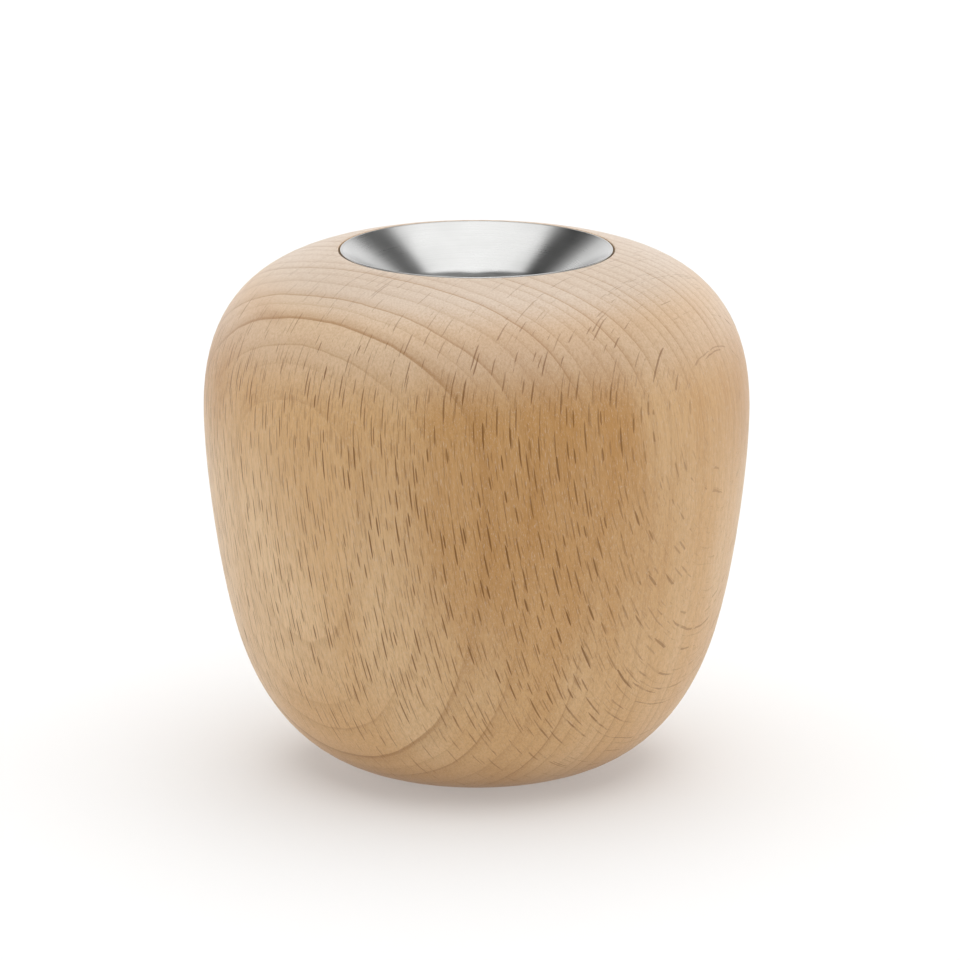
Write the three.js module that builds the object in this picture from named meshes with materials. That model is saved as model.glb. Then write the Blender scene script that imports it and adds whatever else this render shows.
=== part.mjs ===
// A turned beech candlestick with a lift-out steel insert for one 22 mm dinner candle.
// Millimetres, +Z up. The origin is the centre of the felt disc's underside, on the table.
import * as THREE from "three";

// Driving dimensions
const bodyRadius = 40; // half of the widest diameter
const bodyHeight = 77.4; // table to the rim of the mouth
const feltProud = 0.5; // how far the felt disc holds the wood off the table
const fitGap = 0.3; // clearance between neighbouring pieces
const sheet = 0.8; // thickness of the steel

// Turned outline of the wood, from the mouth down to the foot
const mouthRadius = 20.2; // edge of the recess that takes the insert
const edgeChamfer = 0.25; // broken edge of the mouth
const rimFall = THREE.MathUtils.degToRad(8.7); // how steeply the top falls away from the mouth
const rimReach = 9.6; // length of the curve's handle at the mouth
const bellyHeight = feltProud + 53.6; // where the body is widest
const shoulderReach = 17.1; // handle above the widest line
const bellyReach = 8.5; // handle below the widest line
const waistRadius = 35.9; // where the flank turns into the rounded foot
const waistHeight = feltProud + 22.6;
const waistLean = THREE.MathUtils.degToRad(14.8); // the flank's lean from vertical there
const waistReachUp = 8.3;
const waistReachDown = 4;
const footRadius = 16.7; // flat ring that the wood ends in
const footRise = THREE.MathUtils.degToRad(13); // how steeply the underside rises from the foot
const footReach = 14.8;

// Felt disc in a shallow recess under the foot
const feltRadius = 13.5;
const feltThickness = 1.5;
const feltEdge = 0.2; // softened upper edge

// Steel insert: a conical drip dish with a collar, and a candle cup slipped over the collar
const dishRadius = mouthRadius - fitGap;
const landWidth = 0.45; // flat top edge of the dish
const coneFall = THREE.MathUtils.degToRad(36); // the cone below horizontal
const socketRadius = 11.3; // a 22 mm candle with room to slip in
const throatBend = 1.6; // radius where the cone turns down into the socket
const collarBottom = bodyHeight - 10;
const cupFloor = bodyHeight - 27; // top of the floor that the candle stands on
const bellHeight = 3.4; // widened mouth of the cup, around the collar
const stepHeight = 1.2; // height over which the cup narrows below its bell
const cupCorner = 1.2; // inside corner radius at the floor

// Silicone ring round the cup, and the bore that it fills
const ringRadius = 0.8; // of the ring's round section
const ringInner = socketRadius + sheet + fitGap; // inner radius of the ring
const boreRadius = ringInner + 2 * ringRadius + fitGap;
const boreFloor = cupFloor - sheet - 1;
const spurRadius = 2; // dimple left by the centre spur of the bit
const spurDepth = 1.6;

// Facets
const bodyFacets = 80;
const insertFacets = 56;
const curveSteps = 10; // along each of the outline's three curves
const bendSteps = 4; // round each small bend

const point = (radius, height) => new THREE.Vector2(radius, height);

// A piece turned about Z, from a profile that is closed or starts and ends on the axis.
function turned(name, profile, facets, look) {
  const geometry = new THREE.LatheGeometry(profile, facets);
  geometry.rotateX(Math.PI / 2);
  const mesh = new THREE.Mesh(geometry, new THREE.MeshStandardMaterial(look));
  mesh.name = name;
  return mesh;
}

// Points round a bend, from one angle to another.
function bend(centre, radius, from, to, steps = bendSteps) {
  const arc = new THREE.EllipseCurve(centre.x, centre.y, radius, radius, from, to, to < from);
  return arc.getPoints(steps);
}

// Height of the dish's upper face at a radius.
const coneTop = (radius) =>
  bodyHeight - (dishRadius - landWidth - radius) * Math.tan(coneFall);

// Height of the dish's underside at a radius.
const coneUnder = (radius) => coneTop(radius) - sheet / Math.cos(coneFall);

// Height of the wood's conical seat at a radius.
const seat = (radius) => coneUnder(radius) - fitGap / Math.cos(coneFall);

// The outer curve of the wood, from the mouth down to the foot.
function bodyOutline() {
  const top = mouthRadius + edgeChamfer;
  const curve = new THREE.Path();
  curve.moveTo(top, bodyHeight);
  curve.bezierCurveTo(
    top + rimReach * Math.cos(rimFall),
    bodyHeight - rimReach * Math.sin(rimFall),
    bodyRadius,
    bellyHeight + shoulderReach,
    bodyRadius,
    bellyHeight,
  );
  curve.bezierCurveTo(
    bodyRadius,
    bellyHeight - bellyReach,
    waistRadius + waistReachUp * Math.sin(waistLean),
    waistHeight + waistReachUp * Math.cos(waistLean),
    waistRadius,
    waistHeight,
  );
  curve.bezierCurveTo(
    waistRadius - waistReachDown * Math.sin(waistLean),
    waistHeight - waistReachDown * Math.cos(waistLean),
    footRadius + footReach * Math.cos(footRise),
    feltProud + footReach * Math.sin(footRise),
    footRadius,
    feltProud,
  );
  return curve.getPoints(curveSteps);
}

// The beech body, with the felt's recess below, and the cone seat and stepped bore above.
function woodBody() {
  const recessRadius = feltRadius + fitGap;
  const recessHeight = feltThickness + fitGap;
  const profile = [
    point(0, recessHeight),
    point(recessRadius, recessHeight),
    point(recessRadius, feltProud),
    ...bodyOutline().reverse(),
    point(mouthRadius, bodyHeight - edgeChamfer),
    point(mouthRadius, seat(mouthRadius)),
    point(boreRadius, seat(boreRadius)),
    point(boreRadius, boreFloor),
    point(spurRadius, boreFloor),
    point(0, boreFloor - spurDepth),
  ];
  return turned("wood_body", profile, bodyFacets, {
    color: 0xd9b98f,
    roughness: 0.55,
    metalness: 0,
  });
}

// The spun dish: a cone with a flat land, bent down at its throat into a short collar.
function dripDish() {
  const bendDrop = throatBend * Math.tan((Math.PI / 2 - coneFall) / 2);
  const bendCentre = point(socketRadius + throatBend, coneTop(socketRadius) - bendDrop);
  const coneSide = Math.PI / 2 + coneFall;
  const profile = [
    point(socketRadius + sheet, collarBottom),
    ...bend(bendCentre, throatBend - sheet, Math.PI, coneSide),
    point(dishRadius, coneUnder(dishRadius)),
    point(dishRadius, bodyHeight),
    point(dishRadius - landWidth, bodyHeight),
    ...bend(bendCentre, throatBend, coneSide, Math.PI),
    point(socketRadius, collarBottom),
  ];
  profile.push(profile[0].clone());
  return turned("drip_dish", profile, insertFacets, {
    color: 0xc9cacb,
    roughness: 0.3,
    metalness: 1,
  });
}

// The drawn cup that the candle stands in, with its bell round the dish's collar.
function candleCup() {
  const cornerCentre = point(socketRadius - cupCorner, cupFloor + cupCorner);
  const bellInside = socketRadius + sheet + fitGap;
  const bellOutside = bellInside + sheet;
  const ledge = collarBottom - fitGap;
  const profile = [
    point(0, cupFloor - sheet),
    ...bend(cornerCentre, cupCorner + sheet, -Math.PI / 2, 0),
    point(socketRadius + sheet, ledge - sheet - stepHeight),
    point(bellOutside, ledge - sheet),
    point(bellOutside, ledge + bellHeight),
    point(bellInside, ledge + bellHeight),
    point(bellInside, ledge),
    point(socketRadius, ledge),
    ...bend(cornerCentre, cupCorner, 0, -Math.PI / 2),
    point(0, cupFloor),
  ];
  return turned("candle_cup", profile, insertFacets, {
    color: 0xc9cacb,
    roughness: 0.35,
    metalness: 1,
  });
}

// The silicone ring, under the cup's bell, that keeps the insert central in the bore.
function gripRing() {
  const bellFoot = collarBottom - fitGap - sheet - stepHeight;
  const centre = point(ringInner + ringRadius, bellFoot - ringRadius);
  const profile = bend(centre, ringRadius, 0, Math.PI * 2, 2 * bendSteps);
  profile[profile.length - 1].copy(profile[0]);
  return turned("grip_ring", profile, insertFacets, {
    color: 0x8a8a86,
    roughness: 0.7,
    metalness: 0,
  });
}

// The felt disc that keeps the wood off the table.
function baseFelt() {
  const profile = [
    point(0, 0),
    point(feltRadius, 0),
    point(feltRadius, feltThickness - feltEdge),
    point(feltRadius - feltEdge, feltThickness),
    point(0, feltThickness),
  ];
  return turned("base_felt", profile, insertFacets, {
    color: 0x6b6660,
    roughness: 0.95,
    metalness: 0,
  });
}

const holder = new THREE.Group();
holder.add(woodBody(), baseFelt());

const insert = new THREE.Group();
insert.add(dripDish(), candleCup(), gripRing());

const candlestick = new THREE.Group();
candlestick.add(holder, insert);

export default candlestick;
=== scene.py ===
import math

import bmesh
import bpy
from mathutils import Matrix, Vector
from mathutils.geometry import interpolate_bezier


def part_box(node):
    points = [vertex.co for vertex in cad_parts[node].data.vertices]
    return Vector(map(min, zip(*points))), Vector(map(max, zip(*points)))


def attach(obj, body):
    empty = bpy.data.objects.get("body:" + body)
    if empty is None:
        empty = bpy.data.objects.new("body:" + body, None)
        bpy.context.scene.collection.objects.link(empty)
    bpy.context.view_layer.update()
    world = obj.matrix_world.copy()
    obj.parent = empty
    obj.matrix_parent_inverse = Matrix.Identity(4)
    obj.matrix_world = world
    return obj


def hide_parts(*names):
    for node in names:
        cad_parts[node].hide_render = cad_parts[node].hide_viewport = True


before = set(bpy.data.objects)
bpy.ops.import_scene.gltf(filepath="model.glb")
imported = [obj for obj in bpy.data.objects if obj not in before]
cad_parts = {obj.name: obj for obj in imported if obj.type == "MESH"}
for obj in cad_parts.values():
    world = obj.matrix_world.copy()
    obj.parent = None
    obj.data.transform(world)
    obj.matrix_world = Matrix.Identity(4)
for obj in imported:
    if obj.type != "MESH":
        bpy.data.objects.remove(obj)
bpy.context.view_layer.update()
mm = 0.001
nearAxis = 0.1 * mm  # where an outline starts and ends, before its pole is closed
print("frame:", ", ".join(sorted(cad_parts)))


# Modelling helpers

def startFresh():
    # an operator acts on all that is selected, so nothing is left selected
    if bpy.context.object and bpy.context.object.mode != "OBJECT":
        bpy.ops.object.mode_set(mode="OBJECT")
    bpy.ops.object.select_all(action="DESELECT")


def pickRing(radius, height, slack=0.01 * mm):
    # selects the loop of edges at this radius and height
    bpy.ops.mesh.select_mode(type="EDGE")
    bpy.ops.mesh.select_all(action="DESELECT")
    mesh = bpy.context.object.data
    shape = bmesh.from_edit_mesh(mesh)
    for edge in shape.edges:
        edge.select = all(
            abs(math.hypot(v.co.x, v.co.y) - radius) < slack and abs(v.co.z - height) < slack
            for v in edge.verts
        )
    bmesh.update_edit_mesh(mesh)


def walkRing(stops):
    # extrudes the selected ring from the first (radius, height) through all the others
    for (radius, height), (nextRadius, nextHeight) in zip(stops, stops[1:]):
        bpy.ops.mesh.extrude_edges_move(TRANSFORM_OT_translate={"value": (0, 0, nextHeight - height)})
        grow = nextRadius / radius
        bpy.ops.transform.resize(value=(grow, grow, 1), center_override=(0, 0, 0))


def turnPiece(name, stops, around, closed=False):
    # a turned piece: its outline is walked round by extruding, and its ends are drawn in to the axis
    startFresh()
    radius, height = stops[0]
    bpy.ops.mesh.primitive_circle_add(vertices=around, radius=radius, location=(0, 0, height))
    piece = bpy.context.object
    piece.name = piece.data.name = name
    bpy.ops.object.transform_apply(location=True, rotation=True, scale=True)
    bpy.ops.object.mode_set(mode="EDIT")
    bpy.ops.mesh.select_mode(type="EDGE")
    bpy.ops.mesh.select_all(action="SELECT")
    walkRing(stops + stops[:1] if closed else stops)
    if not closed:
        bpy.ops.mesh.merge(type="CENTER")
        pickRing(*stops[0])
        bpy.ops.mesh.merge(type="CENTER")
    bpy.ops.mesh.select_all(action="SELECT")
    bpy.ops.mesh.remove_doubles(threshold=0.001 * mm)
    bpy.ops.mesh.normals_make_consistent(inside=False)
    return piece


def breakEdges(width, segments=3, sharpness=30):
    # rounds every edge that turns by more than the given angle
    bpy.ops.mesh.select_all(action="DESELECT")
    bpy.ops.mesh.edges_select_sharp(sharpness=math.radians(sharpness))
    bpy.ops.mesh.bevel(offset=width, segments=segments, affect="EDGES")


def smoothPiece(piece, material, node, body, crease=40):
    # smooth up to the crease angle, with its material, and in its place in the assembly
    bpy.ops.object.mode_set(mode="OBJECT")
    bpy.ops.object.shade_smooth_by_angle(angle=math.radians(crease))
    piece.data.materials.append(material)
    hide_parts(node)
    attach(piece, body)
    print(piece.name, "has", len(piece.data.polygons), "faces")


def curveStops(start, startHandle, endHandle, end, steps):
    # (radius, height) stops along one Bezier curve, without its first point
    knots = [Vector((x, z, 0)) for x, z in (start, startHandle, endHandle, end)]
    return [(p.x, p.y) for p in interpolate_bezier(*knots, steps + 1)][1:]


def bendStops(centre, radius, start, end, steps=6):
    # (radius, height) stops round a bend, angles in degrees
    angles = [math.radians(start + (end - start) * i / steps) for i in range(steps + 1)]
    return [(centre[0] + radius * math.cos(a), centre[1] + radius * math.sin(a)) for a in angles]


def lean(point, reach, degrees):
    # the point that lies reach away, at an angle from the horizontal
    turn = math.radians(degrees)
    return point[0] + reach * math.cos(turn), point[1] + reach * math.sin(turn)


# Shader helpers

def rgb(red, green, blue):
    # a screen colour in 0 to 255 as the linear colour that a socket takes
    def linear(c):
        c /= 255
        return c / 12.92 if c <= 0.04045 else ((c + 0.055) / 1.055) ** 2.4
    return linear(red), linear(green), linear(blue), 1


def add(tree, kind, inputs=None, **settings):
    # a node with its settings, and its inputs either set or linked
    node = tree.nodes.new(kind)
    for name, value in settings.items():
        setattr(node, name, value)
    for key, value in (inputs or {}).items():
        if isinstance(value, bpy.types.NodeSocket):
            tree.links.new(value, node.inputs[key])
        else:
            node.inputs[key].default_value = value
    return node


def maths(tree, operation, a, b=0.0, c=0.0, clamp=False):
    # one sum of up to three terms; MULTIPLY_ADD is a * b + c
    node = add(tree, "ShaderNodeMath", {0: a, 1: b, 2: c}, operation=operation, use_clamp=clamp)
    return node.outputs[0]


def remap(tree, value, low, high, toLow=0.0, toHigh=1.0, smooth=True):
    # takes low to toLow and high to toHigh, and holds those beyond them
    kind = "SMOOTHSTEP" if smooth else "LINEAR"
    ends = {"Value": value, "From Min": low, "From Max": high, "To Min": toLow, "To Max": toHigh}
    return add(tree, "ShaderNodeMapRange", ends, interpolation_type=kind).outputs[0]


def blendColour(tree, amount, first, second):
    # the first colour at 0, the second at 1
    node = add(tree, "ShaderNodeMix", data_type="RGBA")
    for socket, value in (("Factor_Float", amount), ("A_Color", first), ("B_Color", second)):
        target = next(i for i in node.inputs if i.identifier == socket)
        if isinstance(value, bpy.types.NodeSocket):
            tree.links.new(value, target)
        else:
            target.default_value = value
    return next(o for o in node.outputs if o.identifier == "Result_Color")


def noiseIn(tree, vector, detail=2.0, rough=0.5, output=0, **inputs):
    settings = {"Vector": vector, "Scale": 1.0, "Detail": detail, "Roughness": rough, **inputs}
    return add(tree, "ShaderNodeTexNoise", settings).outputs[output]


def newMaterial(name):
    material = bpy.data.materials.new(name)
    material.use_nodes = True
    tree = material.node_tree
    shader = next(n for n in tree.nodes if n.type == "BSDF_PRINCIPLED")
    return material, tree, shader


# Camera, floor and light

studio = {
    "aim": (0.5 * mm, 0, 42.6 * mm),
    "orbit": (0, 0, 40.5 * mm),  # the camera's place is measured from here
    "distance": 0.9,
    "elevation": 14.31,
    "lens": 229.3,
    "farthest": 50,  # metres that the camera sees
    "floorSize": 8,
    "floorColour": (0.6, 0.6, 0.6, 1),
    "floorRoughness": 0.9,
    "floorGlow": 0.3,  # the floor is an opal sheet, lit from below as well
}


def setCamera():
    rise = math.radians(studio["elevation"])
    back = Vector((0, -math.cos(rise), math.sin(rise))) * studio["distance"]
    place = Vector(studio["orbit"]) + back
    turn = (Vector(studio["aim"]) - place).to_track_quat("-Z", "Y").to_euler()
    startFresh()
    bpy.ops.object.camera_add(location=place, rotation=turn)
    camera = bpy.context.object
    camera.data.lens = studio["lens"]
    camera.data.clip_end = studio["farthest"]
    bpy.context.scene.camera = camera


def layFloor():
    startFresh()
    bpy.ops.mesh.primitive_plane_add(size=studio["floorSize"], location=(0, 0, 0))
    floor = bpy.context.object
    floor.name = "studioFloor"
    material, tree, shader = newMaterial("paleFloor")
    shader.inputs["Base Color"].default_value = studio["floorColour"]
    shader.inputs["Roughness"].default_value = studio["floorRoughness"]
    shader.inputs["Emission Color"].default_value = (1, 1, 1, 1)
    shader.inputs["Emission Strength"].default_value = studio["floorGlow"]
    floor.data.materials.append(material)


light = {
    "top": 2.15,  # the softbox overhead
    "topEdge": (0.8, 0.92),  # how far out its edge lies, on a ceiling one unit up
    "topShift": 0.05,  # how far it hangs to the right
    "topTaper": 0.6,  # how much it narrows towards the front and the back
    "gap": (0.02, 0.14),  # the dark studio beside it, on the left and on the right
    "gapTurn": (-0.3, 0.3),  # where the left gives way to the right
    "gapEdge": (1.4, 2.4),  # where the gap gives way to the cove
    "cove": 1.3,  # the white cove at the back and the sides
    "front": 0.28,  # how much of it there is on the camera's side
    "frontEdge": (-0.8, 0.0),  # where that side gives way to the others
}


def lightStudio():
    # a white cove all round, a softbox overhead, and a dark gap between them
    world = bpy.data.worlds.new("studio")
    bpy.context.scene.world = world
    world.use_nodes = True
    tree = world.node_tree
    tree.nodes.clear()
    direction = add(tree, "ShaderNodeTexCoord").outputs["Generated"]
    parts = add(tree, "ShaderNodeSeparateXYZ", {0: direction}).outputs
    # every direction is followed to the ceiling, and those near the horizon go far out on it
    up = maths(tree, "MAXIMUM", parts[2], 0.02)
    sideways = maths(tree, "SUBTRACT", maths(tree, "DIVIDE", parts[0], up), light["topShift"])
    sideways = maths(tree, "ABSOLUTE", sideways)
    forwards = maths(tree, "DIVIDE", maths(tree, "ABSOLUTE", parts[1]), up)
    spread = maths(tree, "MULTIPLY_ADD", forwards, light["topTaper"], sideways)
    top = remap(tree, spread, *light["topEdge"], light["top"], 0)
    dark = remap(tree, parts[0], *light["gapTurn"], *light["gap"])
    cove = remap(tree, spread, *light["gapEdge"], 0, light["cove"])
    side = remap(tree, parts[1], *light["frontEdge"], light["front"], 1.0)
    strength = maths(tree, "ADD", top, maths(tree, "MULTIPLY_ADD", cove, side, dark))
    glow = add(tree, "ShaderNodeBackground", {"Color": (1, 1, 1, 1), "Strength": strength})
    add(tree, "ShaderNodeOutputWorld", {"Surface": glow.outputs[0]})
    bpy.context.scene.view_settings.view_transform = "Standard"


setCamera()
layFloor()
lightStudio()
print("studio is set")


# Beech

beech = {
    # how the block lies in its log; lengths in the log are in millimetres
    "grainLean": 6,  # degrees that the top of the grain leans to the left
    "flatSide": -43,  # azimuth of the flat-sawn face, in degrees to the right of the front
    "heartDistance": 125,  # from the block's middle to the heart of the log
    "wanderLength": (28, 28, 95),  # over which rings and rays wander, outwards, round and along
    "ringWander": 1.4,  # how far they wander, either way
    # growth rings
    "ringWidth": 2.3,
    "unevenLength": 6.0,  # over which the width changes
    "uneven": 1.3,  # years that this brings forward at most; much more would turn the count back
    "ringShift": -0.43,
    "lateWood": (0.4, 0.95),  # where in the year the wood starts to darken and is darkest
    "yearLine": (0.86, 0.95),  # the same for the thin line that ends the year
    "yearEnd": (1.0, 0.97),  # where both are gone, just before the next year, and where they start to go
    "boldness": (0.1, 1.0, 0.2, 0.8),  # of a year, by its luck
    "strongRing": 155.0,  # how far from the heart one strongly marked year lies
    "strongReach": (1.3, 0.9, 0, 0.95),  # its boldness, by the distance from there
    "lineStrength": 0.62,
    "lineOnFace": 0.14,  # what is left of a line where the surface lies along the grain
    "shadeOnFace": 0.1,
    "shadeOnEnd": 0.14,  # added to that on end grain
    "shadeLeast": 0.35,  # added to a year's boldness when it shades the wood
    "endGrain": (0.1, 0.7),  # how far up or down the surface faces, from face to end grain
    # colours
    "pale": rgb(219, 184, 139),
    "warm": rgb(211, 170, 119),
    "gold": rgb(186, 137, 77),
    # a pale, whitish end-grain tone, also used as the painted sheen on the top and the rim
    "paleWoodAndSheen": rgb(211, 193, 174),
    # the brown of the growth rings, also used as the painted shade underneath
    "ringBrownAndUnderShade": rgb(155, 110, 58),
    "rayBrown": rgb(106, 60, 0),
    "sapWood": rgb(235, 204, 163),
    "zoneLength": (14, 18, 60),
    "zones": (0.36, 0.64),  # from pale to warm
    "blotchLength": (5, 7, 30),
    "blotches": (0.3, 0.7, 0.55, 1.0),
    # patches in the wood: colour, strength, and millimetres of raggedness, middle and size
    "patches": [
        ("gold", 0.95, 20, (9, -36, 53), (23, 30, 34)),
        ("gold", 0.8, 20, (-37, -8, 64), (12, 20, 12)),
        ("gold", 0.8, 20, (38, -8, 61), (13, 20, 17)),
        ("sapWood", 0.5, 20, (-30, -22, 32), (16, 20, 19)),
        ("gold", 1.0, 3, (-29.7, -16.6, 71.3), (4.5, 4.5, 1)),
    ],
    "patchEdge": (1.5, 0.2),  # in patch sizes from its middle, from none of it to all of it
    # how pale or brown the wood turns, by how far up the surface faces: paler on top for end grain's own tone
    # and a painted sheen of the overhead light, browner underneath as painted shade
    "topEndGrainAndSheen": (0.15, 0.6, 0, 0.48),
    "rimEndGrainAndSheen": (0.72, 1.0, 0, 0.6),
    "paintedUnderShade": (-0.55, -0.9, 0, 0.5),
    # fibres and pores
    "fibreSize": (0.28, 0.28, 6),
    "fibreShade": (0.35, 0.7, 0, 0.26),
    "poreSize": (0.1, 0.1, 1.1),
    "pores": (0.62, 0.72),
    "poreStrength": 0.4,
    "lightPores": (0.44, 0.3, 0, 0.5),
    # rays
    "broadRays": (0.64, 5.6, 0.07, 1.95),  # cell width and height, half width and half height of a ray
    "fineRays": (0.4, 3.4, 0.045, 1.1),
    "broadShare": 0.85,  # how many of the cells have one
    "fineShare": 0.9,
    "fineStrength": (0.3, 0.6, 0.45, 0.12),  # on the sides, and on end grain
    "raySlant": 2.7,  # keeps neighbouring rays from lying in rows
    "rayScatter": 0.85,
    "rayLengths": (0.5, 1.3),  # shortest and longest, narrowest and widest, faintest and darkest
    "rayWidths": (0.65, 1.3),
    "rayDepths": (0.5, 1.0),
    "raySoftness": 0.35,  # of its edge, in half widths
    "slimness": (0.05, 0.45, 0.12, 1.0),  # width of a ray, by how squarely the surface crosses it
    "patchySize": (4.5, 0.55, 3),  # of the stretches that show rays where the surface lies along them
    "patchy": (0.46, 0.54),
    "steadyAcross": (0.35, 0.65),  # where they show all along
    "steadyOnSide": (0.65, 0.3),
    "faintAlong": (0.15, 0.7, 0.35, 1.0),
    "faintOnTop": (0.45, 0.95, 1.0, 0.4),
    "faintUnder": (-0.15, -0.8, 1.0, 0.45),
    "rayStrength": 0.78,
    # surface
    "roughness": 0.42,
    "fibreRoughness": 0.16,
    "rayRoughness": 0.12,
    "shine": 0.3,
    "nap": 0.1,  # the bloom of the fine fibres that sanding raises
    "napRoughness": 0.4,
    "fibreRelief": 0.35,  # shares of the relief; what is below zero sinks in
    "poreRelief": -0.5,
    "rayRelief": -0.6,
    "relief": 0.05 * mm,
    "reliefStrength": 0.35,
}


def logDirections():
    # away from the heart, round it, and along the grain
    leanBy = math.radians(beech["grainLean"])
    grain = Vector((-math.sin(leanBy), 0, math.cos(leanBy)))
    side = math.radians(beech["flatSide"])
    outwards = Vector((math.sin(side), -math.cos(side), 0))
    outwards = (outwards - grain * outwards.dot(grain)).normalized()
    return outwards, grain.cross(outwards), grain


def logCoordinates(tree):
    # the log's own millimetres, along those three directions
    outwards, around, grain = logDirections()
    turn = Matrix((outwards, around, grain)).transposed().to_euler()
    heart = Vector((0, 0, 40 * mm)) - outwards * beech["heartDistance"] * mm
    place = add(tree, "ShaderNodeTexCoord").outputs["Object"]
    mapping = add(tree, "ShaderNodeMapping", {"Vector": place, "Location": heart, "Rotation": turn,
                                              "Scale": (mm, mm, mm)}, vector_type="TEXTURE")
    return mapping.outputs[0]


def stretch(tree, vector, lengths):
    # the millimetres that a pattern's unit covers, along each of the log's directions
    scale = tuple(1 / length for length in lengths)
    return add(tree, "ShaderNodeMapping", {"Vector": vector, "Scale": scale}, vector_type="POINT").outputs[0]


def spindles(tree, around, along, slimness, size, howMany):
    # spindle-shaped ends of the rays: one in most cells, each with a size of its own
    cellWidth, cellHeight, halfWidth, halfHeight = size
    slanted = maths(tree, "MULTIPLY_ADD", around, beech["raySlant"], along)
    cell = add(tree, "ShaderNodeCombineXYZ", {0: maths(tree, "DIVIDE", around, cellWidth),
                                              1: maths(tree, "DIVIDE", slanted, cellHeight)}).outputs[0]
    scatter = {"Vector": cell, "Scale": 1.0, "Randomness": beech["rayScatter"]}
    spots = add(tree, "ShaderNodeTexVoronoi", scatter, voronoi_dimensions="2D", feature="F1")
    away = add(tree, "ShaderNodeVectorMath", {0: cell, 1: spots.outputs["Position"]},
               operation="SUBTRACT").outputs[0]
    parts = add(tree, "ShaderNodeSeparateXYZ", {0: away}).outputs
    chance = add(tree, "ShaderNodeSeparateColor", {0: spots.outputs["Color"]}).outputs
    sideways = maths(tree, "MULTIPLY", maths(tree, "ABSOLUTE", parts[0]), cellWidth)
    lengthways = maths(tree, "MULTIPLY", maths(tree, "ABSOLUTE", parts[1]), cellHeight)
    lengths = [halfHeight * share for share in beech["rayLengths"]]
    widths = [halfWidth * share for share in beech["rayWidths"]]
    tall = remap(tree, chance[0], 0, 1, *lengths, smooth=False)
    wide = remap(tree, chance[1], 0, 1, *widths, smooth=False)
    wide = maths(tree, "MULTIPLY", wide, slimness)
    reach = maths(tree, "POWER", maths(tree, "DIVIDE", lengthways, tall), 3.0)
    edge = maths(tree, "MULTIPLY", wide, maths(tree, "SUBTRACT", 1.0, reach))
    soft = maths(tree, "MULTIPLY", slimness, beech["raySoftness"] * halfWidth)
    inside = maths(tree, "DIVIDE", maths(tree, "SUBTRACT", edge, sideways), soft)
    mask = remap(tree, inside, -0.8, 1.0)
    depth = remap(tree, chance[1], 0, 1, *beech["rayDepths"], smooth=False)
    there = maths(tree, "MULTIPLY", maths(tree, "LESS_THAN", chance[2], howMany), depth)
    return maths(tree, "MULTIPLY", mask, there)


def crossesRays(tree, facing, parts, outwards):
    # 1 where the surface crosses the rays squarely, 0 where it lies flat along them
    shares = [add(tree, "ShaderNodeVectorMath", {0: facing, 1: direction}, operation="DOT_PRODUCT")
              for direction in logDirections()[:2]]
    across = maths(tree, "MULTIPLY", shares[0].outputs["Value"], parts[1])
    flat = maths(tree, "SUBTRACT", maths(tree, "MULTIPLY", shares[1].outputs["Value"], parts[0]), across)
    flat = maths(tree, "POWER", maths(tree, "DIVIDE", flat, outwards), 2.0)
    return maths(tree, "SQRT", maths(tree, "SUBTRACT", 1.0, flat, clamp=True))


def growthRings(tree, outwards):
    # each year darkens slowly to a thin brown line, and some years are bolder than others
    slow = maths(tree, "DIVIDE", outwards, beech["unevenLength"])
    uneven = add(tree, "ShaderNodeTexNoise", {"W": slow, "Scale": 1.0, "Detail": 1.0},
                 noise_dimensions="1D").outputs[0]
    years = maths(tree, "ADD", maths(tree, "DIVIDE", outwards, beech["ringWidth"]),
                  maths(tree, "MULTIPLY_ADD", uneven, beech["uneven"], beech["ringShift"]))
    season = maths(tree, "FRACT", years)
    ending = remap(tree, season, *beech["yearEnd"])
    lateWood = maths(tree, "MULTIPLY", remap(tree, season, *beech["lateWood"]), ending)
    line = maths(tree, "MULTIPLY", remap(tree, season, *beech["yearLine"]), ending)
    year = maths(tree, "FLOOR", years)
    luck = add(tree, "ShaderNodeTexWhiteNoise", {"W": year}, noise_dimensions="1D").outputs["Value"]
    boldness = remap(tree, luck, *beech["boldness"], smooth=False)
    offStrong = maths(tree, "ABSOLUTE", maths(tree, "SUBTRACT", outwards, beech["strongRing"]))
    boldness = maths(tree, "MAXIMUM", boldness, remap(tree, offStrong, *beech["strongReach"]))
    return lateWood, line, boldness


def addPatches(tree, log, offset, ground):
    # soft-edged patches that the wander makes ragged and the blotches make uneven
    place = add(tree, "ShaderNodeTexCoord").outputs["Object"]
    blotches = noiseIn(tree, stretch(tree, log, beech["blotchLength"]), detail=3.0)
    blotches = remap(tree, blotches, *beech["blotches"])
    for colour, amount, fray, middle, size in beech["patches"]:
        ragged = add(tree, "ShaderNodeVectorMath", {0: offset, 1: (fray * mm,) * 3, 2: place},
                     operation="MULTIPLY_ADD").outputs[0]
        patch = add(tree, "ShaderNodeMapping", {"Vector": ragged, "Location": Vector(middle) * mm,
                                                "Scale": Vector(size) * mm}, vector_type="TEXTURE").outputs[0]
        away = add(tree, "ShaderNodeVectorMath", {0: patch}, operation="LENGTH").outputs["Value"]
        share = remap(tree, away, *beech["patchEdge"], 0, amount)
        share = maths(tree, "MULTIPLY", share, blotches)
        ground = blendColour(tree, share, ground, beech[colour])
    return ground


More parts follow.
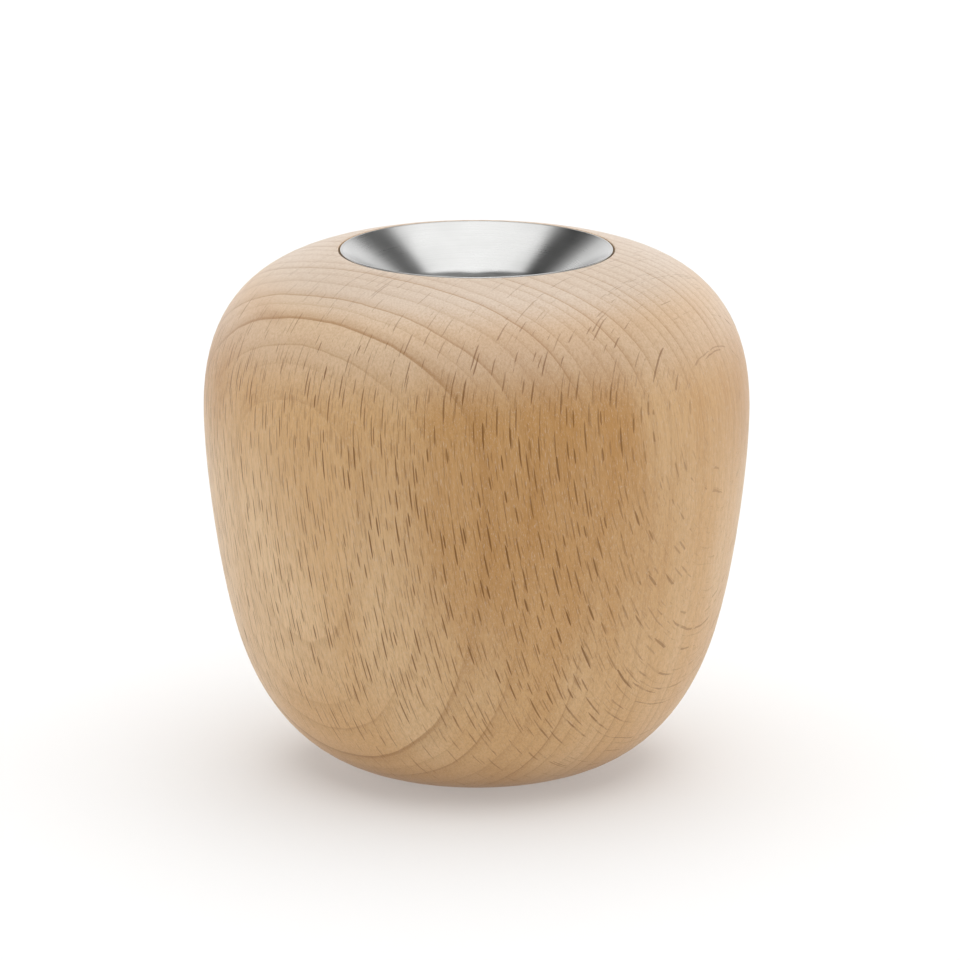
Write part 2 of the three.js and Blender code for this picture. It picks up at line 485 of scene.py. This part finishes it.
def medullaryRays(tree, log, place, facing, upright):
    # broad rays show as brown dashes, fine ones as hairs; it returns them, and how dark they show
    outwards, around, along, parts = place
    crossing = crossesRays(tree, facing, parts, outwards)
    lying = maths(tree, "ABSOLUTE", upright)
    slimness = remap(tree, crossing, *beech["slimness"], smooth=False)
    broad = spindles(tree, around, along, slimness, beech["broadRays"], beech["broadShare"])
    fine = spindles(tree, around, along, slimness, beech["fineRays"], beech["fineShare"])
    fine = maths(tree, "MULTIPLY", fine, remap(tree, lying, *beech["fineStrength"]))
    rays = maths(tree, "MAXIMUM", broad, fine)
    # they come and go where the surface lies along them
    patchy = noiseIn(tree, stretch(tree, log, beech["patchySize"]), detail=0.0)
    patchy = remap(tree, patchy, *beech["patchy"])
    steady = maths(tree, "MULTIPLY", remap(tree, crossing, *beech["steadyAcross"]),
                   remap(tree, lying, *beech["steadyOnSide"]))
    rays = maths(tree, "MULTIPLY", rays, maths(tree, "MAXIMUM", patchy, steady))
    # and they are fainter there, and on end grain
    faint = remap(tree, crossing, *beech["faintAlong"])
    faint = maths(tree, "MULTIPLY", faint, remap(tree, upright, *beech["faintOnTop"]))
    faint = maths(tree, "MULTIPLY", faint, remap(tree, upright, *beech["faintUnder"]))
    return rays, maths(tree, "MULTIPLY", maths(tree, "MULTIPLY", rays, faint), beech["rayStrength"])


def makeBeech():
    material, tree, shader = newMaterial("solidBeech")
    log = logCoordinates(tree)
    # rings and rays both wander a little along the trunk
    wander = noiseIn(tree, stretch(tree, log, beech["wanderLength"]), detail=4.0, output="Color")
    offset = add(tree, "ShaderNodeVectorMath", {0: wander, 1: (0.5, 0.5, 0.5)},
                 operation="SUBTRACT").outputs[0]
    shifted = add(tree, "ShaderNodeVectorMath", {0: offset, 1: (beech["ringWander"] * 2,) * 3, 2: log},
                  operation="MULTIPLY_ADD").outputs[0]
    parts = add(tree, "ShaderNodeSeparateXYZ", {0: shifted}).outputs
    outwards = maths(tree, "SQRT", maths(tree, "ADD", maths(tree, "POWER", parts[0], 2.0),
                                         maths(tree, "POWER", parts[1], 2.0)))
    angle = maths(tree, "ARCTAN2", parts[1], parts[0])
    around = maths(tree, "MULTIPLY", angle, beech["heartDistance"])
    along = parts[2]
    facing = add(tree, "ShaderNodeTexCoord").outputs["Normal"]
    upright = add(tree, "ShaderNodeVectorMath", {0: facing, 1: (0, 0, 1)},
                  operation="DOT_PRODUCT").outputs["Value"]
    endGrain = remap(tree, maths(tree, "ABSOLUTE", upright), *beech["endGrain"])

    # colour of the sound wood: soft zones, patches, and its turn on end grain, with a painted sheen where it
    # faces up and painted shade where it faces down
    zones = noiseIn(tree, stretch(tree, log, beech["zoneLength"]))
    ground = blendColour(tree, remap(tree, zones, *beech["zones"]), beech["pale"], beech["warm"])
    ground = addPatches(tree, log, offset, ground)
    # paler where the surface faces up and at the rim: end grain's own tone, and a painted sheen of the
    # overhead light
    topEndGrainAndSheen = remap(tree, upright, *beech["topEndGrainAndSheen"])
    rimEndGrainAndSheen = remap(tree, upright, *beech["rimEndGrainAndSheen"])
    ground = blendColour(tree, maths(tree, "ADD", topEndGrainAndSheen, rimEndGrainAndSheen), ground, beech["paleWoodAndSheen"])
    # browner where the surface faces down: painted shade underneath
    paintedUnderShade = remap(tree, upright, *beech["paintedUnderShade"])
    ground = blendColour(tree, paintedUnderShade, ground, beech["ringBrownAndUnderShade"])

    # growth rings, plain on end grain and faint along the grain
    lateWood, line, boldness = growthRings(tree, outwards)
    shading = maths(tree, "MULTIPLY_ADD", endGrain, beech["shadeOnEnd"], beech["shadeOnFace"])
    shading = maths(tree, "MULTIPLY", lateWood, shading)
    shading = maths(tree, "MULTIPLY", shading, maths(tree, "ADD", boldness, beech["shadeLeast"]))
    ground = blendColour(tree, shading, ground, beech["ringBrownAndUnderShade"])
    shown = maths(tree, "MULTIPLY_ADD", endGrain, 1 - beech["lineOnFace"], beech["lineOnFace"])
    lineMask = maths(tree, "MULTIPLY", maths(tree, "MULTIPLY", line, boldness), shown)
    lineMask = maths(tree, "MULTIPLY", lineMask, beech["lineStrength"])
    ground = blendColour(tree, lineMask, ground, beech["ringBrownAndUnderShade"])

    # fibres and fine pores, drawn out along the grain
    fibres = noiseIn(tree, stretch(tree, log, beech["fibreSize"]), detail=3.0, rough=0.6)
    pores = noiseIn(tree, stretch(tree, log, beech["poreSize"]), rough=0.7)
    ground = blendColour(tree, remap(tree, fibres, *beech["fibreShade"]), ground, beech["ringBrownAndUnderShade"])
    poreMask = remap(tree, pores, *beech["pores"])
    poreShade = maths(tree, "MULTIPLY", poreMask, beech["poreStrength"])
    ground = blendColour(tree, poreShade, ground, beech["rayBrown"])
    ground = blendColour(tree, remap(tree, pores, *beech["lightPores"]), ground, beech["paleWoodAndSheen"])

    rays, shown = medullaryRays(tree, log, (outwards, around, along, parts), facing, upright)
    ground = blendColour(tree, shown, ground, beech["rayBrown"])
    tree.links.new(ground, shader.inputs["Base Color"])

    # fibres and rays are a little rougher; fibres stand up, pores and rays sink in
    mean = beech["roughness"] - beech["fibreRoughness"] / 2
    gloss = maths(tree, "MULTIPLY_ADD", fibres, beech["fibreRoughness"], mean)
    gloss = maths(tree, "MULTIPLY_ADD", rays, beech["rayRoughness"], gloss)
    tree.links.new(gloss, shader.inputs["Roughness"])
    shader.inputs["Specular IOR Level"].default_value = beech["shine"]
    shader.inputs["Sheen Weight"].default_value = beech["nap"]
    shader.inputs["Sheen Roughness"].default_value = beech["napRoughness"]
    height = maths(tree, "MULTIPLY", fibres, beech["fibreRelief"])
    height = maths(tree, "MULTIPLY_ADD", poreMask, beech["poreRelief"], height)
    height = maths(tree, "MULTIPLY_ADD", rays, beech["rayRelief"], height)
    bump = add(tree, "ShaderNodeBump", {"Height": height, "Strength": beech["reliefStrength"],
                                        "Distance": beech["relief"]})
    tree.links.new(bump.outputs[0], shader.inputs["Normal"])
    return material


wood = {
    "around": 192,
    "curveSteps": 22,
    "mouthRadius": 20.15 * mm,
    "mouthRounding": 0.22 * mm,
    "rimFall": 8.7,  # degrees that the top falls away from the mouth
    "rimReach": 9.7 * mm,
    "bellyHeight": 53.6 * mm,  # above the foot
    "shoulderReach": 17.1 * mm,
    "bellyReach": 8.5 * mm,
    "waist": (35.93 * mm, 22.6 * mm),  # radius, and height above the foot
    "waistLean": 14.8,
    "waistReachUp": 8.3 * mm,
    "waistReachDown": 4 * mm,
    "footRadius": 16.7 * mm,
    "footRise": 13,
    "footReach": 14.8 * mm,
    "recess": (13.8 * mm, 1.8 * mm),  # radius, and height of its ceiling above the table
    "coneFall": 36,  # degrees that the seat falls inwards, as the dish does
    "boreRadius": 14.3 * mm,
    "boreFloor": 28.8 * mm,  # below the rim
    "spurRadius": 2 * mm,
    "spurDepth": 1.6 * mm,
    "seatDrop": 1.03 * mm,  # from the dish's cone to the seat under it
}


def makeWood(material):
    low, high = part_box("wood_body")
    foot, rim, belly = low.z, high.z, high.x
    mouth = (wood["mouthRadius"], rim)
    widest = (belly, foot + wood["bellyHeight"])
    waist = (wood["waist"][0], foot + wood["waist"][1])
    footRing = (wood["footRadius"], foot)
    recessRadius, recessTop = wood["recess"]
    steps = wood["curveSteps"]

    shoulder = curveStops(mouth, lean(mouth, wood["rimReach"], -wood["rimFall"]),
                          (belly, widest[1] + wood["shoulderReach"]), widest, steps)
    flank = curveStops(widest, (belly, widest[1] - wood["bellyReach"]),
                       lean(waist, wood["waistReachUp"], 90 - wood["waistLean"]), waist, steps)
    rounding = curveStops(waist, lean(waist, wood["waistReachDown"], -90 - wood["waistLean"]),
                          lean(footRing, wood["footReach"], wood["footRise"]), footRing, steps)

    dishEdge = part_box("drip_dish")[1].x
    slope = math.tan(math.radians(wood["coneFall"]))

    def seatAt(radius):
        return rim - (dishEdge - radius) * slope - wood["seatDrop"]

    bore, floor = wood["boreRadius"], rim - wood["boreFloor"]
    inside = [(nearAxis, floor - wood["spurDepth"]), (wood["spurRadius"], floor), (bore, floor),
              (bore, seatAt(bore)), (mouth[0], seatAt(mouth[0])), mouth]
    under = [(recessRadius, foot), (recessRadius, recessTop), (nearAxis, recessTop)]
    piece = turnPiece("beechBody", inside + shoulder + flank + rounding + under, wood["around"])
    breakEdges(wood["mouthRounding"])
    smoothPiece(piece, material, "wood_body", "holder")


makeWood(makeBeech())


# Steel

steel = {
    "dishTone": (0.42, 0.42, 0.415),
    "dishRoughness": 0.27,
    "dishMarks": {"Pitch": 0.07, "Depth": 1.0, "Wear": 0.5},
    "cupTone": (0.34, 0.34, 0.335),
    "cupRoughness": 0.38,
    "cupMarks": {"Pitch": 0.12, "Depth": 0.6, "Wear": 0.9},
    "markTurns": 1.6,  # how often a mark changes on its way round
    "markShade": (0.3, 0.82),  # how much a mark lightens the steel, and from what
    "markRoughness": 0.12,
    "handledScale": 140.0,  # patches to the metre that hands have dulled
    "handled": (0.35, 0.7),  # from bright to dulled
    "handledShade": -0.06,
    "handledRoughness": 0.1,
    "brushing": 0.75,
    "brushTurn": 0.25,  # a quarter turn, so that the highlights follow marks round the axis
    "relief": 0.004 * mm,
    "reliefStrength": 0.35,
}


def brushGroup():
    # marks left by spinning and brushing, all of them round the axis
    group = bpy.data.node_groups.new("turnedMarks", "ShaderNodeTree")
    face = group.interface
    for name, default in steel["dishMarks"].items():
        face.new_socket(name, in_out="INPUT", socket_type="NodeSocketFloat").default_value = default
    for name in ("Shade", "Roughness", "Height"):
        face.new_socket(name, in_out="OUTPUT", socket_type="NodeSocketFloat")
    given = group.nodes.new("NodeGroupInput").outputs
    result = group.nodes.new("NodeGroupOutput")
    place = add(group, "ShaderNodeTexCoord").outputs["Object"]
    flat = add(group, "ShaderNodeVectorMath", {0: place, 1: (1, 1, 0)}, operation="MULTIPLY").outputs[0]
    compass = add(group, "ShaderNodeVectorMath", {0: flat}, operation="NORMALIZE").outputs[0]
    radius = add(group, "ShaderNodeVectorMath", {0: flat}, operation="LENGTH").outputs["Value"]
    height = add(group, "ShaderNodeSeparateXYZ", {0: place}).outputs[2]
    # marks are counted outwards and upwards, and change slowly round
    outwards = maths(group, "DIVIDE", maths(group, "MULTIPLY", radius, 1 / mm), given["Pitch"])
    upwards = maths(group, "DIVIDE", maths(group, "MULTIPLY", height, 1 / mm), given["Pitch"])
    turns = (steel["markTurns"], steel["markTurns"], 0)
    swirl = add(group, "ShaderNodeVectorMath", {0: compass, 1: turns}, operation="MULTIPLY").outputs[0]
    split = add(group, "ShaderNodeSeparateXYZ", {0: swirl}).outputs
    lines = add(group, "ShaderNodeCombineXYZ", {0: split[0], 1: split[1], 2: outwards}).outputs[0]
    marks = add(group, "ShaderNodeTexNoise", {"Vector": lines, "W": upwards, "Scale": 1.0, "Detail": 3.0,
                                              "Roughness": 0.7}, noise_dimensions="4D").outputs[0]
    handled = noiseIn(group, place, detail=4.0, Scale=steel["handledScale"])
    wear = maths(group, "MULTIPLY", remap(group, handled, *steel["handled"]), given["Wear"])
    shade = maths(group, "MULTIPLY_ADD", marks, *steel["markShade"])
    shade = maths(group, "MULTIPLY_ADD", wear, steel["handledShade"], shade)
    dulled = maths(group, "MULTIPLY", wear, steel["handledRoughness"])
    rough = maths(group, "MULTIPLY_ADD", marks, steel["markRoughness"], dulled)
    depth = maths(group, "MULTIPLY", marks, given["Depth"])
    for name, value in (("Shade", shade), ("Roughness", rough), ("Height", depth)):
        group.links.new(value, result.inputs[name])
    return group


turnedMarks = brushGroup()


def makeSteel(name, tone, roughness, given):
    # the marks' mean roughness is taken off, so that the steel keeps its own
    material, tree, shader = newMaterial(name)
    marks = add(tree, "ShaderNodeGroup", node_tree=turnedMarks)
    for key, value in given.items():
        marks.inputs[key].default_value = value
    channels = {i: maths(tree, "MULTIPLY", marks.outputs["Shade"], part) for i, part in enumerate(tone)}
    colour = add(tree, "ShaderNodeCombineColor", channels)
    tree.links.new(colour.outputs[0], shader.inputs["Base Color"])
    rough = maths(tree, "ADD", marks.outputs["Roughness"], roughness - steel["markRoughness"] / 2)
    tree.links.new(rough, shader.inputs["Roughness"])
    bump = add(tree, "ShaderNodeBump", {"Height": marks.outputs["Height"], "Distance": steel["relief"],
                                        "Strength": steel["reliefStrength"]})
    tree.links.new(bump.outputs[0], shader.inputs["Normal"])
    shader.inputs["Metallic"].default_value = 1
    shader.inputs["Anisotropic"].default_value = steel["brushing"]
    shader.inputs["Anisotropic Rotation"].default_value = steel["brushTurn"]
    return material


dish = {
    "around": 160,
    "sheet": 0.8 * mm,
    "land": 0.4 * mm,  # flat top edge
    "coneFall": 36,
    "socketRadius": 11.3 * mm,
    "throatBend": 1.6 * mm,
    "edgeRounding": 0.12 * mm,
}


def makeDish(material):
    low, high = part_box("drip_dish")
    edge, rim, collar = high.x, high.z, low.z
    socket, sheet, bend = dish["socketRadius"], dish["sheet"], dish["throatBend"]
    fall = math.radians(dish["coneFall"])

    def coneAt(radius):
        return rim - (edge - dish["land"] - radius) * math.tan(fall)

    underside = coneAt(edge) - sheet / math.cos(fall)
    centre = (socket + bend, coneAt(socket) - bend * math.tan(math.pi / 4 - fall / 2))
    coneSide = 90 + dish["coneFall"]
    stops = [(socket + sheet, collar), *bendStops(centre, bend - sheet, 180, coneSide),
             (edge, underside), (edge, rim), (edge - dish["land"], rim),
             *bendStops(centre, bend, coneSide, 180, 10), (socket, collar)]
    piece = turnPiece("dripDish", stops, dish["around"], closed=True)
    breakEdges(dish["edgeRounding"])
    smoothPiece(piece, material, "drip_dish", "insert")


makeDish(makeSteel("brushedSteel", steel["dishTone"], steel["dishRoughness"], steel["dishMarks"]))


cup = {
    "around": 160,
    "wall": 0.8 * mm,
    "corner": 1.2 * mm,
    "bellHeight": 3.4 * mm,
    "stepHeight": 1.2 * mm,
    "lipRounding": 0.12 * mm,
}


def makeCup(material):
    low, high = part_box("candle_cup")
    wall, corner = cup["wall"], cup["corner"]
    socket = dish["socketRadius"]
    bell = high.x
    ledge = high.z - cup["bellHeight"]
    centre = (socket - corner, low.z + wall + corner)
    stops = [(nearAxis, low.z), *bendStops(centre, corner + wall, -90, 0),
             (socket + wall, ledge - wall - cup["stepHeight"]), (bell, ledge - wall), (bell, high.z),
             (bell - wall, high.z), (bell - wall, ledge), (socket, ledge),
             *bendStops(centre, corner, 0, -90), (nearAxis, low.z + wall)]
    piece = turnPiece("candleCup", stops, cup["around"])
    breakEdges(cup["lipRounding"])
    smoothPiece(piece, material, "candle_cup", "insert")


makeCup(makeSteel("drawnSteel", steel["cupTone"], steel["cupRoughness"], steel["cupMarks"]))


# Silicone ring

ring = {
    "around": 144,
    "sectionSteps": 12,  # round each half of the section
    "squeeze": 0.3 * mm,  # the ring is drawn out this far to grip the cup
    "flashWidth": 0.12 * mm,  # the parting line that the mould leaves
    "flashHeight": 0.03 * mm,
    "colour": rgb(176, 176, 170),
    "bloom": rgb(206, 205, 198),
    "bloomScale": 160.0,  # clouds of it to the metre
    "bloomShare": (0.35, 0.7, 0, 0.3),
    "dust": rgb(225, 222, 214),
    "dustScale": 900.0,
    "dustShare": (0.6, 0.75, 0, 0.35),
    "roughness": (0.25, 0.42),  # what dust adds, and to what
    "relief": 0.02 * mm,
    "reliefStrength": 0.3,
    "glowThrough": 0.12,
}


def makeSilicone():
    material, tree, shader = newMaterial("silicone")
    place = add(tree, "ShaderNodeTexCoord").outputs["Object"]
    dust = noiseIn(tree, place, detail=4.0, Scale=ring["dustScale"])
    cloud = noiseIn(tree, place, Scale=ring["bloomScale"])
    colour = blendColour(tree, remap(tree, cloud, *ring["bloomShare"]), ring["colour"], ring["bloom"])
    colour = blendColour(tree, remap(tree, dust, *ring["dustShare"]), colour, ring["dust"])
    tree.links.new(colour, shader.inputs["Base Color"])
    tree.links.new(maths(tree, "MULTIPLY_ADD", dust, *ring["roughness"]), shader.inputs["Roughness"])
    bump = add(tree, "ShaderNodeBump", {"Height": dust, "Strength": ring["reliefStrength"],
                                        "Distance": ring["relief"]})
    tree.links.new(bump.outputs[0], shader.inputs["Normal"])
    shader.inputs["Subsurface Weight"].default_value = ring["glowThrough"]
    shader.inputs["Subsurface Radius"].default_value = (mm, mm, mm)
    return material


def makeRing(material):
    low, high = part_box("grip_ring")
    tall = (high.z - low.z) / 2
    middle = low.z + tall
    wide = tall + ring["squeeze"] / 2
    centre = high.x - wide
    outer = high.x - ring["flashHeight"]
    # an oval section, walked from the underside up its outer half and back down beside the cup
    steps = ring["sectionSteps"]
    angles = [math.pi * i / steps for i in range(1, steps)]
    outside = [(centre + (outer - centre) * math.sin(a), middle - tall * math.cos(a)) for a in angles]
    inside = [(centre - wide * math.sin(a), middle + tall * math.cos(a)) for a in angles]
    half = ring["flashWidth"] / 2
    flash = [(outer, middle - half), (high.x, middle), (outer, middle + half)]
    belt = steps // 2 - 1
    stops = [(centre, low.z), *outside[:belt], *flash, *outside[belt + 1:], (centre, high.z), *inside]
    piece = turnPiece("gripRing", stops, ring["around"], closed=True)
    smoothPiece(piece, material, "grip_ring", "insert")


makeRing(makeSilicone())


# Felt

felt = {
    "around": 160,
    "rings": 56,
    "edgeRounding": 0.25 * mm,
    "napSize": 0.7 * mm,
    "napDepth": 0.14 * mm,
    "dark": rgb(96, 90, 84),
    "light": rgb(150, 143, 135),
    "fibreScale": 2600.0,  # fibres to the metre
    "fibreShade": (0.35, 0.68),
    "clumpScale": 520.0,
    "clumpShade": (0.4, 0.75, 0, 0.45),
    "roughness": (0.1, 0.88),  # what fibres add, and to what
    "relief": 0.12 * mm,
    "reliefStrength": 0.8,
    "fuzz": 0.35,
    "fuzzRoughness": 0.6,
}


def makeFeltCloth():
    material, tree, shader = newMaterial("pressedFelt")
    place = add(tree, "ShaderNodeTexCoord").outputs["Object"]
    fibres = noiseIn(tree, place, detail=5.0, rough=0.7, Scale=felt["fibreScale"], Distortion=1.5)
    clumps = noiseIn(tree, place, detail=4.0, Scale=felt["clumpScale"], Distortion=0.8)
    colour = blendColour(tree, remap(tree, fibres, *felt["fibreShade"]), felt["dark"], felt["light"])
    colour = blendColour(tree, remap(tree, clumps, *felt["clumpShade"]), colour, felt["dark"])
    tree.links.new(colour, shader.inputs["Base Color"])
    tree.links.new(maths(tree, "MULTIPLY_ADD", fibres, *felt["roughness"]), shader.inputs["Roughness"])
    height = maths(tree, "MULTIPLY_ADD", clumps, 0.6, maths(tree, "MULTIPLY", fibres, 0.5))
    bump = add(tree, "ShaderNodeBump", {"Height": height, "Strength": felt["reliefStrength"],
                                        "Distance": felt["relief"]})
    tree.links.new(bump.outputs[0], shader.inputs["Normal"])
    shader.inputs["Sheen Weight"].default_value = felt["fuzz"]
    shader.inputs["Sheen Roughness"].default_value = felt["fuzzRoughness"]
    return material


def makeFelt(material):
    low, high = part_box("base_felt")
    edge, rounding = high.x, felt["edgeRounding"]
    flatRadius = edge - rounding
    rings = felt["rings"]
    # the underside is divided evenly, so that the nap can dent it, and the hidden top more coarsely
    across = [flatRadius * (i + 1) / rings for i in range(rings)]
    stops = [(r, low.z) for r in across]
    stops += bendStops((flatRadius, low.z + rounding), rounding, -90, 0, 3)
    stops += bendStops((flatRadius, high.z - rounding), rounding, 0, 90, 3)
    stops += [(r, high.z) for r in reversed(across[: rings // 2])]
    piece = turnPiece("baseFelt", stops, felt["around"])
    bpy.ops.object.mode_set(mode="OBJECT")
    nap = bpy.data.textures.new("nap", "CLOUDS")
    nap.noise_scale = felt["napSize"]
    nap.noise_depth = 3
    push = piece.modifiers.new("nap", "DISPLACE")
    push.texture = nap
    push.texture_coords = "LOCAL"
    push.strength = felt["napDepth"]
    push.mid_level = 1.0  # the nap only sinks in, so the disc keeps its size
    bpy.ops.object.modifier_apply(modifier="nap")
    smoothPiece(piece, material, "base_felt", "holder")


makeFelt(makeFeltCloth())
